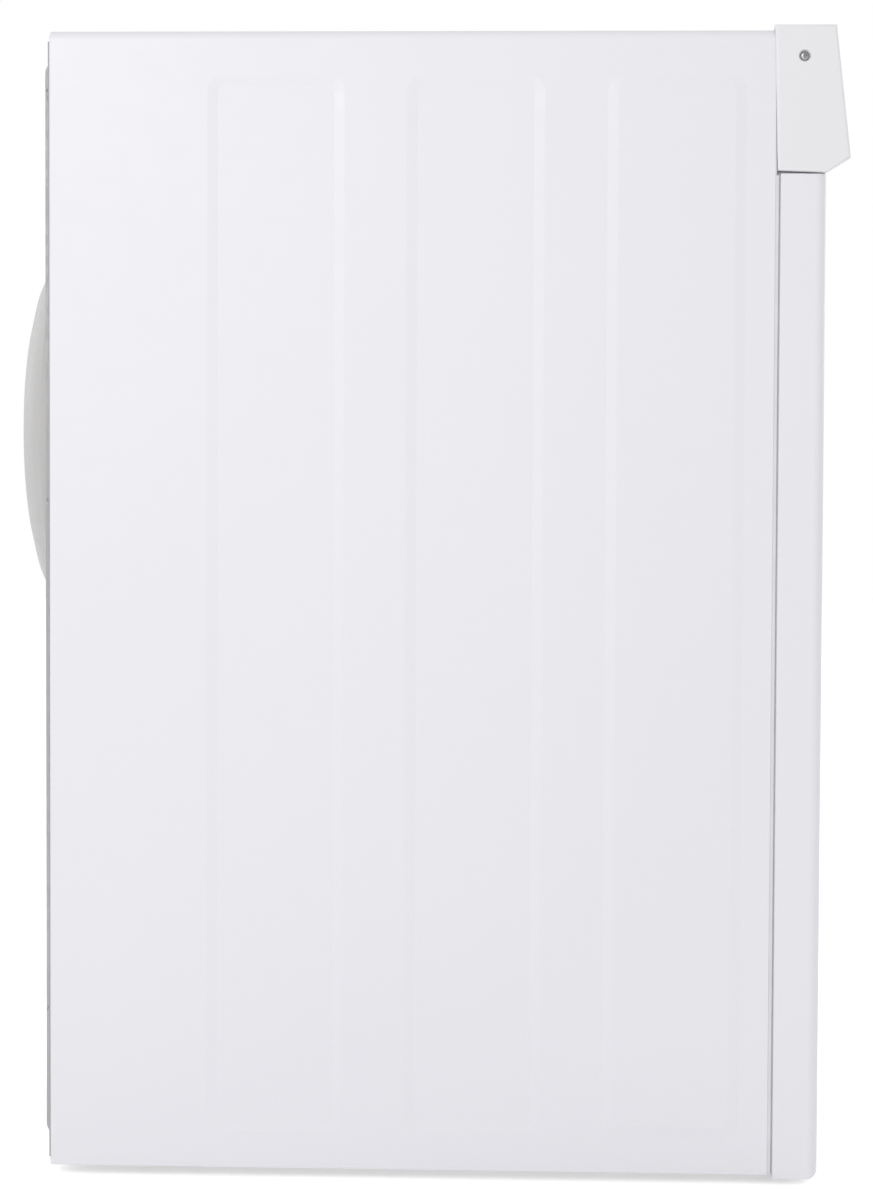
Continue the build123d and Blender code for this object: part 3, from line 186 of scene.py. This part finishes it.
def mix_by_ray(tree, output, kinds, shown, otherwise):
    """The output takes one shader for the rays of the given kinds, and another for the rest."""
    mix = tree.nodes.new("ShaderNodeMixShader")
    tree.links.new(any_ray(tree, kinds), mix.inputs[0])
    tree.links.new(otherwise.outputs[0], mix.inputs[1])
    tree.links.new(shown.outputs[0], mix.inputs[2])
    tree.links.new(mix.outputs[0], output.inputs["Surface"])


def make_floor():
    """A white floor that shows as the page and keeps a faint shadow."""
    mesh = bpy.data.meshes.new("floor")
    corners = [(x * FLOOR_HALF, y * FLOOR_HALF, 0) for x, y in ((-1, -1), (1, -1), (1, 1), (-1, 1))]
    mesh.from_pydata(corners, [], [(0, 1, 2, 3)])
    floor = bpy.data.objects.new("floor", mesh)
    put_in_scene(floor)
    material = bpy.data.materials.new("floor")
    material.use_nodes = True
    tree = material.node_tree
    tree.nodes.clear()
    output = tree.nodes.new("ShaderNodeOutputMaterial")
    diffuse = tree.nodes.new("ShaderNodeBsdfDiffuse")
    diffuse.inputs["Color"].default_value = FLOOR_COLOUR
    glow = tree.nodes.new("ShaderNodeEmission")
    glow.inputs["Strength"].default_value = FLOOR_GLOW
    add = tree.nodes.new("ShaderNodeAddShader")
    tree.links.new(diffuse.outputs[0], add.inputs[0])
    tree.links.new(glow.outputs[0], add.inputs[1])
    kinds = ("Is Glossy Ray", "Is Transmission Ray", "Is Camera Ray")
    mix_by_ray(tree, output, kinds, add, diffuse)
    mesh.materials.append(material)


def make_world():
    """An even pale sky: it lights the object softly and shows as white."""
    world = bpy.data.worlds.new("studio")
    bpy.context.scene.world = world
    world.use_nodes = True
    tree = world.node_tree
    tree.nodes.clear()
    output = tree.nodes.new("ShaderNodeOutputWorld")
    shown = tree.nodes.new("ShaderNodeBackground")
    light = tree.nodes.new("ShaderNodeBackground")
    for background in (shown, light):
        background.inputs["Color"].default_value = WHITE
    light.inputs["Strength"].default_value = SKY_LIGHT
    mix_by_ray(tree, output, ("Is Camera Ray", "Is Transmission Ray"), shown, light)


def area_light(name, place, target, size, watts):
    data = bpy.data.lights.new(name, "AREA")
    data.shape = "SQUARE"
    data.size = size
    data.energy = watts
    lamp = bpy.data.objects.new(name, data)
    put_in_scene(lamp)
    lamp.location = place
    lamp.rotation_mode = "QUATERNION"
    lamp.rotation_quaternion = (Vector(target) - Vector(place)).to_track_quat("-Z", "Y")


def make_lights():
    middle = (0, 0, 0.45)
    upper_rear = (SIDE_X, 0.2, 0.8)
    area_light("key_left", (-2.2, 0.9, 1.2), middle, WIDE_LAMP, watts=10)
    area_light("key_corner", (-2.45, 0.85, 1.35), upper_rear, SMALL_LAMP, watts=6)
    area_light("fill_front_right", (1.8, -2.2, 1.5), middle, WIDE_LAMP, watts=14)
    area_light("back_right", (1.9, 2.2, 1.4), middle, WIDE_LAMP, watts=9)


# Materials

class Paint:
    """One procedural material, with short calls for the nodes that it needs."""

    def __init__(self, name, colour, roughness, metallic=0.0):
        self.material = bpy.data.materials.new(name)
        self.material.use_nodes = True
        self.tree = self.material.node_tree
        self.shader = self.tree.nodes["Principled BSDF"]
        self.set("Base Color", (*colour, 1))
        self.set("Roughness", roughness)
        self.set("Metallic", metallic)
        self.colour = colour
        self.place = self.tree.nodes.new("ShaderNodeTexCoord").outputs["Object"]
        self.height = None

    def set(self, socket, value):
        self.shader.inputs[socket].default_value = value

    def stretched(self, scale=(1, 1, 1)):
        mapping = self.tree.nodes.new("ShaderNodeMapping")
        mapping.inputs["Scale"].default_value = scale
        self.tree.links.new(self.place, mapping.inputs["Vector"])
        return mapping.outputs["Vector"]

    def noise(self, scale, detail=3.0, roughness=0.5, stretch=(1, 1, 1)):
        node = self.tree.nodes.new("ShaderNodeTexNoise")
        node.inputs["Scale"].default_value = scale
        node.inputs["Detail"].default_value = detail
        node.inputs["Roughness"].default_value = roughness
        self.tree.links.new(self.stretched(stretch), node.inputs["Vector"])
        return node.outputs["Fac"]

    def flakes(self, scale):
        """Cells that each have one grey of their own."""
        cells = self.tree.nodes.new("ShaderNodeTexVoronoi")
        cells.inputs["Scale"].default_value = scale
        self.tree.links.new(self.stretched(), cells.inputs["Vector"])
        grey = self.tree.nodes.new("ShaderNodeRGBToBW")
        self.tree.links.new(cells.outputs["Color"], grey.inputs["Color"])
        return grey.outputs["Val"]

    def tint(self, value, low, high, start=RAMP_START, end=RAMP_END):
        """The base colour varies from low to high times its own value."""
        node = self.tree.nodes.new("ShaderNodeValToRGB")
        first, last = node.color_ramp.elements
        first.position = start
        last.position = end
        first.color = (*[min(1.0, c * low) for c in self.colour], 1)
        last.color = (*[min(1.0, c * high) for c in self.colour], 1)
        self.tree.links.new(value, node.inputs["Fac"])
        self.tree.links.new(node.outputs["Color"], self.shader.inputs["Base Color"])

    def rough(self, value, low, high):
        """The roughness varies from low to high."""
        node = self.tree.nodes.new("ShaderNodeMapRange")
        node.inputs["From Min"].default_value = RAMP_START
        node.inputs["From Max"].default_value = RAMP_END
        node.inputs["To Min"].default_value = low
        node.inputs["To Max"].default_value = high
        self.tree.links.new(value, node.inputs["Value"])
        self.tree.links.new(node.outputs["Result"], self.shader.inputs["Roughness"])

    def bump(self, value, distance, strength):
        node = self.tree.nodes.new("ShaderNodeBump")
        node.inputs["Strength"].default_value = strength
        node.inputs["Distance"].default_value = distance
        self.tree.links.new(value, node.inputs["Height"])
        self.tree.links.new(node.outputs["Normal"], self.shader.inputs["Normal"])


def white_enamel():
    paint = Paint("white_enamel", (0.812, 0.804, 0.845), 0.46)
    paint.tint(paint.noise(3.0, 2.0), 0.993, 1.0)
    paint.rough(paint.noise(60, 3.0), 0.42, 0.50)
    paint.bump(paint.noise(520, 1.5, 0.4), 0.00004, 0.3)
    paint.set("Coat Weight", 0.22)
    paint.set("Coat Roughness", 0.2)
    return paint.material


def white_plastic():
    paint = Paint("white_plastic", (0.815, 0.812, 0.830), 0.38)
    paint.tint(paint.noise(5.0, 2.0), 0.992, 1.0)
    paint.rough(paint.noise(140, 3.0), 0.34, 0.44)
    paint.bump(paint.noise(1500, 2.0, 0.6), 0.00003, 0.3)
    return paint.material


def galvanised():
    paint = Paint("galvanised", (0.37, 0.37, 0.378), 0.45, 0.55)
    flake = paint.flakes(140)
    paint.tint(flake, 0.9, 1.1, start=0.1, end=0.9)
    paint.rough(flake, 0.36, 0.54)
    paint.bump(paint.noise(700, 3.0), 0.00004, 0.3)
    return paint.material


def grey_plastic():
    paint = Paint("grey_plastic", (0.54, 0.533, 0.530), 0.5)
    paint.tint(paint.noise(9.0, 3.0), 0.97, 1.0)
    paint.rough(paint.noise(200, 3.0), 0.42, 0.54)
    paint.bump(paint.noise(1300, 2.0, 0.6), 0.00005, 0.35)
    return paint.material


def zinc_screw():
    paint = Paint("zinc_screw", (0.36, 0.36, 0.37), 0.26, 1.0)
    paint.tint(paint.noise(900, 3.0), 0.8, 1.1)
    paint.rough(paint.noise(1600, 3.0), 0.2, 0.36)
    return paint.material


def steel():
    paint = Paint("steel", (0.52, 0.53, 0.54), 0.36, 0.9)
    grain = paint.noise(60, 4.0, 0.6, stretch=(1, 1, 14))
    paint.tint(grain, 0.86, 1.06)
    paint.rough(grain, 0.28, 0.44)
    paint.bump(grain, 0.00003, 0.3)
    return paint.material


def bronze():
    paint = Paint("bronze", (0.50, 0.36, 0.17), 0.45, 0.85)
    paint.tint(paint.noise(800, 4.0), 0.75, 1.1)
    paint.rough(paint.noise(500, 3.0), 0.38, 0.56)
    return paint.material


def chain_steel():
    paint = Paint("chain_steel", (0.12, 0.12, 0.125), 0.38, 0.8)
    paint.tint(paint.noise(120, 4.0), 0.6, 1.4)
    paint.rough(paint.noise(90, 3.0), 0.26, 0.5)
    return paint.material


def black_plastic():
    paint = Paint("black_plastic", (0.035, 0.035, 0.038), 0.5)
    paint.tint(paint.noise(40, 3.0), 0.9, 1.25)
    paint.rough(paint.noise(300, 3.0), 0.44, 0.6)
    paint.bump(paint.noise(1800, 2.0), 0.00006, 0.4)
    return paint.material


def rubber():
    paint = Paint("rubber", (0.028, 0.028, 0.028), 0.75)
    paint.tint(paint.noise(120, 4.0), 0.8, 1.5)
    paint.rough(paint.noise(160, 3.0), 0.68, 0.84)
    paint.bump(paint.noise(1400, 3.0), 0.00008, 0.5)
    return paint.material


def motor_grey():
    paint = Paint("motor_grey", (0.10, 0.105, 0.112), 0.45, 0.2)
    paint.tint(paint.noise(30, 4.0), 0.85, 1.15)
    paint.rough(paint.noise(80, 3.0), 0.38, 0.55)
    paint.bump(paint.noise(600, 3.0), 0.0001, 0.4)
    return paint.material


def cast_aluminium():
    paint = Paint("cast_aluminium", (0.60, 0.61, 0.62), 0.5, 0.9)
    paint.tint(paint.noise(150, 5.0), 0.82, 1.05)
    paint.rough(paint.noise(200, 4.0), 0.42, 0.6)
    paint.bump(paint.noise(450, 4.0, 0.65), 0.00015, 0.5)
    return paint.material


def filter_charcoal():
    paint = Paint("filter_charcoal", (0.022, 0.022, 0.022), 0.9)
    paint.tint(paint.noise(300, 6.0, 0.7), 0.5, 2.2)
    paint.bump(paint.noise(420, 6.0, 0.75), 0.0006, 0.9)
    return paint.material


def bin_grey():
    paint = Paint("bin_grey", (0.47, 0.485, 0.50), 0.42)
    paint.tint(paint.noise(14, 4.0), 0.94, 1.03)
    paint.rough(paint.noise(50, 4.0), 0.34, 0.52)
    paint.bump(paint.noise(1200, 2.0), 0.00005, 0.3)
    return paint.material


def button_grey():
    paint = Paint("button_grey", (0.42, 0.42, 0.43), 0.35)
    paint.tint(paint.noise(60, 3.0), 0.97, 1.02)
    paint.rough(paint.noise(300, 3.0), 0.3, 0.42)
    return paint.material


def lens_amber():
    paint = Paint("lens_amber", (0.75, 0.34, 0.04), 0.12)
    paint.tint(paint.noise(400, 2.0), 0.9, 1.05)
    paint.set("Transmission Weight", 0.55)
    paint.set("IOR", 1.49)
    return paint.material


def nut_plastic():
    paint = Paint("nut_plastic", (0.66, 0.63, 0.53), 0.4)
    paint.tint(paint.noise(40, 3.0), 0.95, 1.03)
    paint.rough(paint.noise(200, 3.0), 0.34, 0.48)
    return paint.material


def seal_grey():
    paint = Paint("seal_grey", (0.72, 0.72, 0.74), 0.7)
    paint.tint(paint.noise(40, 3.0), 0.97, 1.02)
    paint.rough(paint.noise(300, 3.0), 0.62, 0.78)
    paint.bump(paint.noise(1500, 2.0), 0.00005, 0.3)
    return paint.material


def make_materials():
    makers = (
        white_enamel, white_plastic, galvanised, grey_plastic, zinc_screw, steel, bronze, chain_steel,
        black_plastic, rubber, motor_grey, cast_aluminium, filter_charcoal, bin_grey, button_grey,
        lens_amber, nut_plastic, seal_grey,
    )
    return {maker.__name__: maker() for maker in makers}


# The frame's own pieces

def soften(piece, width):
    """Rounds the edges a little and blends the shading over them. The vertices stay as packed."""
    weld = piece.modifiers.new("weld", "WELD")
    weld.merge_threshold = MERGE_DISTANCE
    flatten = piece.modifiers.new("flatten", "DECIMATE")
    flatten.decimate_type = "DISSOLVE"
    flatten.angle_limit = FLAT_LIMIT
    bevel = piece.modifiers.new("edges", "BEVEL")
    bevel.limit_method = "ANGLE"
    bevel.angle_limit = EDGE_LIMIT
    bevel.width = width
    bevel.segments = EDGE_STEPS
    shade = piece.modifiers.new("shade", "WEIGHTED_NORMAL")
    shade.keep_sharp = True
    for name in ("custom_normal", "sharp_edge"):
        old = piece.data.attributes.get(name)
        if old:
            piece.data.attributes.remove(old)
    piece.data.shade_smooth()


def keep_pressed_edges(piece):
    """The pressed panels' edges stay crisp, so that their shallow slopes still show."""
    mesh = piece.data
    low_y = wrapper_low.y + PRESSED_MARGIN
    high_y = wrapper_high.y - PRESSED_MARGIN
    low_z = wrapper_low.z + PRESSED_MARGIN
    high_z = wrapper_high.z - PRESSED_MARGIN
    inside = [low_y < vertex.co.y < high_y and low_z < vertex.co.z < high_z for vertex in mesh.vertices]
    sharp = mesh.attributes.new("sharp_edge", "BOOLEAN", "EDGE")
    for edge in mesh.edges:
        sharp.data[edge.index].value = all(inside[index] for index in edge.vertices)


def dress_nodes():
    """Gives every frame node the finish of its material slot, and clean shading."""
    for name, piece in nodes.items():
        piece.data.materials.clear()
        piece.data.materials.append(paints[slot_names[name]])
        soften(piece, SHEET_EDGE if name in SHEETS else SOLID_EDGE)
    keep_pressed_edges(nodes["cabinet_wrapper"])


# Pieces made here

def add_piece(name, mesh, stands_for):
    """A new piece that stands for one frame node: its finish, slot and body."""
    mesh.materials.append(paints[slot_names[stands_for]])
    piece = bpy.data.objects.new(name, mesh)
    put_in_scene(piece)
    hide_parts(stands_for)
    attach(piece, body_of[stands_for])
    return piece


def as_mesh(bm, name):
    mesh = bpy.data.meshes.new(name)
    bm.to_mesh(mesh)
    bm.free()
    return mesh


def face_outwards(bm):
    bmesh.ops.recalc_face_normals(bm, faces=bm.faces)


def smooth_below(mesh, degrees):
    """Smooth shading, with the edges sharper than the angle kept as creases."""
    mesh.shade_smooth()
    mesh.set_sharp_from_angle(angle=math.radians(degrees))


def join_rings(bm, ring, following):
    """Side walls between two rings of as many vertices."""
    for i in range(len(ring)):
        j = (i + 1) % len(ring)
        corners = [ring[i], ring[j], following[j], following[i]]
        bm.faces.new(list(dict.fromkeys(corners)))


def turned(bm, profile, centre, axis):
    """Revolves (radius, along) points about an axis through the centre."""
    side = axis.orthogonal().normalized()
    spin = [Matrix.Rotation(math.tau * i / TURN_SEGMENTS, 3, axis) for i in range(TURN_SEGMENTS)]
    rings = []
    for radius, along in profile:
        base = centre + axis * along
        if radius == 0:
            rings.append([bm.verts.new(base)] * TURN_SEGMENTS)
        else:
            rings.append([bm.verts.new(base + turn @ side * radius) for turn in spin])
    for ring, following in zip(rings, rings[1:]):
        join_rings(bm, ring, following)


def screw_head_profile(radius, length):
    """A pan head with a shank behind it: (radius, along) from the head's crown."""
    crown = []
    for step in range(HEAD_STEPS + 1):
        turn = math.radians(90) * step / HEAD_STEPS
        rise = SCREW_HEAD_HEIGHT - SCREW_RIM
        crown.append((radius * math.sin(turn), -rise * (1 - math.cos(turn))))
    shank = [(radius, -SCREW_HEAD_HEIGHT), (SCREW_SHANK_RADIUS, -SCREW_HEAD_HEIGHT)]
    return crown + shank + [(SCREW_SHANK_RADIUS, -length), (0, -length)]


def cross_cutter(centre, axis, radius):
    """Two crossed tapered slots, as one object to cut the head with."""
    bm = bmesh.new()
    up = Vector((0, 0, 1))
    across = axis.cross(up)
    reach = radius * CROSS_REACH
    start = centre + axis * CROSS_ABOVE
    bottom = centre - axis * CROSS_DEPTH
    for one, two in ((up, across), (across, up)):
        top = []
        low = []
        for a, b in ((-1, -1), (1, -1), (1, 1), (-1, 1)):
            along = one * a * reach
            aside = two * b * CROSS_SLOT
            top.append(bm.verts.new(start + along + aside))
            low.append(bm.verts.new(bottom + along * CROSS_REACH_TAPER + aside * CROSS_SLOT_TAPER))
        bm.faces.new(top)
        bm.faces.new(low[::-1])
        join_rings(bm, low, top)
    face_outwards(bm)
    return bpy.data.objects.new("cutter", as_mesh(bm, "cutter"))


def screw_and_cutter(crown, axis, radius, length):
    """One screw with a modifier that cuts the cross into its head, and the object that it cuts with."""
    bm = bmesh.new()
    turned(bm, screw_head_profile(radius, length), crown, axis)
    face_outwards(bm)
    screw = bpy.data.objects.new("screw", as_mesh(bm, "screw"))
    cutter = cross_cutter(crown, axis, radius)
    for thing in (screw, cutter):
        put_in_scene(thing)
    cut = screw.modifiers.new("cut", "BOOLEAN")
    cut.operation = "DIFFERENCE"
    cut.solver = "EXACT"
    cut.use_self = True
    cut.object = cutter
    return screw, cutter


def cap_screws():
    """The console's two end screws, with domed heads and cross recesses."""
    low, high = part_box("console_screws")
    radius = (high.z - low.z) / 2
    cap_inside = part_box("console_end_cap_right")[0].x
    length = high.x - (cap_inside + SCREW_END_FROM_INSIDE)
    joined = bmesh.new()
    for side in (-1, 1):
        crown = Vector((side * high.x, (low.y + high.y) / 2, (low.z + high.z) / 2))
        screw, cutter = screw_and_cutter(crown, Vector((side, 0, 0)), radius, length)
        graph = bpy.context.evaluated_depsgraph_get()
        joined.from_mesh(screw.evaluated_get(graph).to_mesh())
        for thing in (screw, cutter):
            bpy.data.objects.remove(thing)
    mesh = as_mesh(joined, "cap_screws")
    add_piece("cap_screws", mesh, "console_screws")
    smooth_below(mesh, SCREW_SHARP)


def thread_rows(bm, centre_x, centre_y, root, lead, low_z, high_z):
    """The points of a right-handed thread, one row for each point of its profile in each turn."""
    rows = []
    turns = math.ceil((high_z - low_z) / lead) + 1
    for turn in range(-1, turns):
        for share, rise in THREAD_PROFILE:
            radius = root + THREAD_DEPTH * rise
            row = []
            for i in range(THREAD_SEGMENTS + 1):
                angle = math.tau * i / THREAD_SEGMENTS
                z = low_z + lead * (turn + share + i / THREAD_SEGMENTS)
                z = min(max(z, low_z), high_z)
                place = (centre_x + radius * math.cos(angle), centre_y + radius * math.sin(angle), z)
                row.append(bm.verts.new(place))
            rows.append(row)
    return rows


def threaded_screw(node, nut_joint, turn_joint):
    """A power screw with its square-shouldered thread, right-handed, cut to the lead of the joints."""
    low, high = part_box(node)
    centre_x = (low.x + high.x) / 2
    centre_y = (low.y + high.y) / 2
    root = (high.x - low.x) / 2 - THREAD_DEPTH
    journal_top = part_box("motor_sprocket")[1].z
    lead = joints[nut_joint]["range_m"][1] / (joints[turn_joint]["range_deg"][1] / 360)
    bm = bmesh.new()
    rows = thread_rows(bm, centre_x, centre_y, root, lead, journal_top, high.z)
    for row, following in zip(rows, rows[1:]):
        for i in range(THREAD_SEGMENTS):
            bm.faces.new((row[i], row[i + 1], following[i + 1], following[i]))
    foot = Vector((centre_x, centre_y, low.z))
    up = Vector((0, 0, 1))
    journal = journal_top - low.z
    top = high.z - low.z
    turned(bm, [(0, 0), (JOURNAL_RADIUS, 0), (JOURNAL_RADIUS, journal)], foot, up)
    turned(bm, [(root, journal - CORE_OVERLAP), (root, top), (0, top)], foot, up)
    bmesh.ops.remove_doubles(bm, verts=bm.verts, dist=MERGE_DISTANCE)
    face_outwards(bm)
    mesh = as_mesh(bm, node + "_thread")
    add_piece(node + "_thread", mesh, node)
    smooth_below(mesh, THREAD_SHARP)


def drawer_seals():
    """The two long soft seals on the liner. Each has a lip that lies along the cabinet's folded edge."""
    low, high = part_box("drawer_bumpers")
    inner_x = high.x - SEAL_WIDTH
    web_x = inner_x + SEAL_WEB
    fold_x = SIDE_X - WRAPPER_FOLD
    lip_x = SIDE_X - SEAL_CLEARANCE
    lip_y = high.y - SEAL_LIP
    tip_y = wrapper_low.y + WRAPPER_FOLD - SEAL_TIP_CLEARANCE
    fold_y = wrapper_low.y - SEAL_CLEARANCE
    outline = [
        (inner_x, low.y), (web_x, low.y), (web_x, lip_y), (lip_x, lip_y), (lip_x, tip_y),
        (fold_x, fold_y), (fold_x, high.y), (inner_x, high.y),
    ]
    bm = bmesh.new()
    for side in (-1, 1):
        base = [bm.verts.new((side * x, y, low.z)) for x, y in outline]
        top = [bm.verts.new((side * x, y, high.z)) for x, y in outline]
        bm.faces.new(base)
        bm.faces.new(top[::-1])
        join_rings(bm, base, top)
    face_outwards(bm)
    add_piece("drawer_seals", as_mesh(bm, "drawer_seals"), "drawer_bumpers")


def dissolve_flat(bm):
    bmesh.ops.dissolve_limit(bm, angle_limit=FLAT_LIMIT, verts=bm.verts, edges=bm.edges)


def square_rim(bm, outer):
    """Moves the outer face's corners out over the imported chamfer, so that the rim is square."""
    shoulder = outer - math.copysign(CAP_CHAMFER, outer)
    for vertex in bm.verts:
        if abs(vertex.co.x - outer) > SAME_LEVEL:
            continue
        for edge in vertex.link_edges:
            other = edge.other_vert(vertex)
            if abs(other.co.x - shoulder) < SAME_LEVEL:
                vertex.co.y = other.co.y
                vertex.co.z = other.co.z


def rim_edges(bm, outer):
    """The edges between the outer face and the walls round it."""
    rim = []
    for edge in bm.edges:
        at_rim = all(abs(vertex.co.x - outer) < SAME_LEVEL for vertex in edge.verts)
        walls = [face for face in edge.link_faces if abs(face.normal.x) < WALL_TILT]
        if at_rim and len(walls) == 1 and edge.calc_length() > SHORTEST_RIM_EDGE:
            rim.append(edge)
    return rim


def rounded_cap(node):
    """A console end cap as packed, with the moulded round of its outer edge in place of the chamfer."""
    low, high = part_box(node)
    outer = high.x if high.x > 0 else low.x
    bm = bmesh.new()
    bm.from_mesh(nodes[node].data)
    bmesh.ops.remove_doubles(bm, verts=bm.verts, dist=MERGE_DISTANCE)
    dissolve_flat(bm)
    square_rim(bm, outer)
    bm.normal_update()
    dissolve_flat(bm)
    bm.normal_update()
    bmesh.ops.bevel(
        bm, geom=rim_edges(bm, outer), offset=CAP_ROUNDING, offset_type="OFFSET",
        segments=CAP_ROUNDING_STEPS, profile=0.5, affect="EDGES", clamp_overlap=True,
    )
    mesh = as_mesh(bm, node + "_rounded")
    piece = add_piece(node + "_rounded", mesh, node)
    smooth_below(mesh, CAP_SHARP)
    shade = piece.modifiers.new("shade", "WEIGHTED_NORMAL")
    shade.keep_sharp = True


make_camera()
make_floor()
make_world()
make_lights()
paints = make_materials()
dress_nodes()
cap_screws()
drawer_seals()
for side in ("left", "right"):
    threaded_screw("power_screw_" + side, "ram_travel", "power_screw_" + side + "_turn")
    rounded_cap("console_end_cap_" + side)

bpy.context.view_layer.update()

scene = bpy.context.scene
scene.view_settings.view_transform = "Standard"
